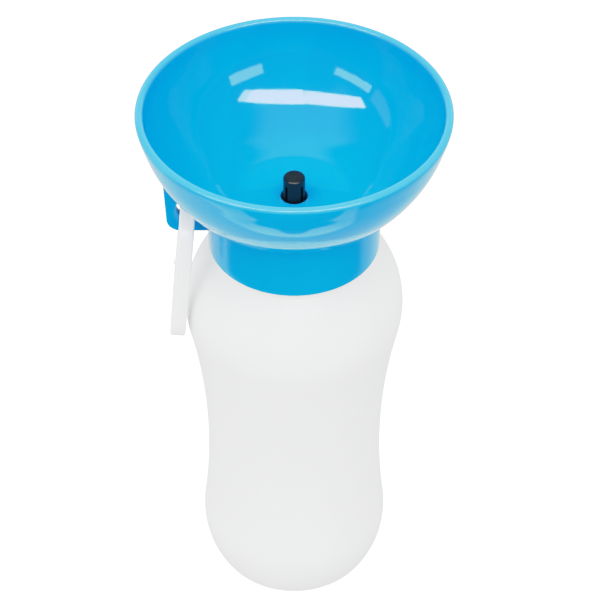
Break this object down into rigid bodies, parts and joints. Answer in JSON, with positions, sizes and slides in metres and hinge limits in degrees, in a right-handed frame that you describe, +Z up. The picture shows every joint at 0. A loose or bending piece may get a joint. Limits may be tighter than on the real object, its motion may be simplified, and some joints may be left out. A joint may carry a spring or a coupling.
{
  "type": "dog travel water bottle",
  "caption": "Squeeze bottle with a screw-on drinking bowl, a push-pull spout fed by a dip tube, and a hanging carabiner.",
  "frame": {"origin": "centre of the bottle's base, on the surface it stands on", "axes": "+Z up along the bottle's axis, -Y towards the front, the carabiner on the -X side"},
  "size_m": [0.11, 0.11, 0.221],
  "materials": {
    "bottle": "frosted translucent polyethylene",
    "bowl": "glossy blue polypropylene",
    "black": "satin black plastic",
    "white": "satin white plastic",
    "silicone": "matte silicone",
    "seal": "matte black rubber",
    "tube": "milky tube",
    "steel": "drawn steel wire"
  },
  "bodies": {
    "bottle": {"bottle": "bottle"},
    "cap_seal": {"cap_gasket": "silicone"},
    "cap": {"bowl_cap": "bowl", "valve_body": "black", "valve_body_o_ring": "seal", "dip_tube": "tube"},
    "spout": {"nozzle": "black", "nozzle_o_ring": "seal"},
    "hook": {"carabiner_body": "white", "gate_pin": "steel", "gate_spring": "steel"},
    "gate": {"carabiner_gate": "white"}
  },
  "joints": [
    {"name": "cap_lift", "type": "slide", "parent": "bottle", "child": "cap_seal", "axis": [0, 0, 1], "range_m": [0, 0.006]},
    {"name": "cap_turn", "type": "hinge", "parent": "cap_seal", "child": "cap", "pos_m": [0, 0, 0.17], "axis": [0, 0, 1], "range_deg": [0, 540]},
    {"name": "nozzle_push", "type": "slide", "parent": "cap", "child": "spout", "axis": [0, 0, 1], "range_m": [-0.004, 0]},
    {"name": "carabiner_swing", "type": "hinge", "parent": "cap", "child": "hook", "pos_m": [-0.0379, 0, 0.17668], "axis": [0, 1, 0], "range_deg": [0, 120]},
    {"name": "gate_pivot", "type": "hinge", "parent": "hook", "child": "gate", "pos_m": [-0.03939, -0.0125, 0.16125], "axis": [0.9954, 0, -0.0961], "range_deg": [0, 30], "stiffness_Nm_per_rad": 0.02, "springref_deg": -17.19, "deforming": ["gate_spring"]}
  ],
  "couplings": [
    {"joint": "cap_lift", "follows": "cap_turn", "m_per_rad": 0.00063662}
  ]
}
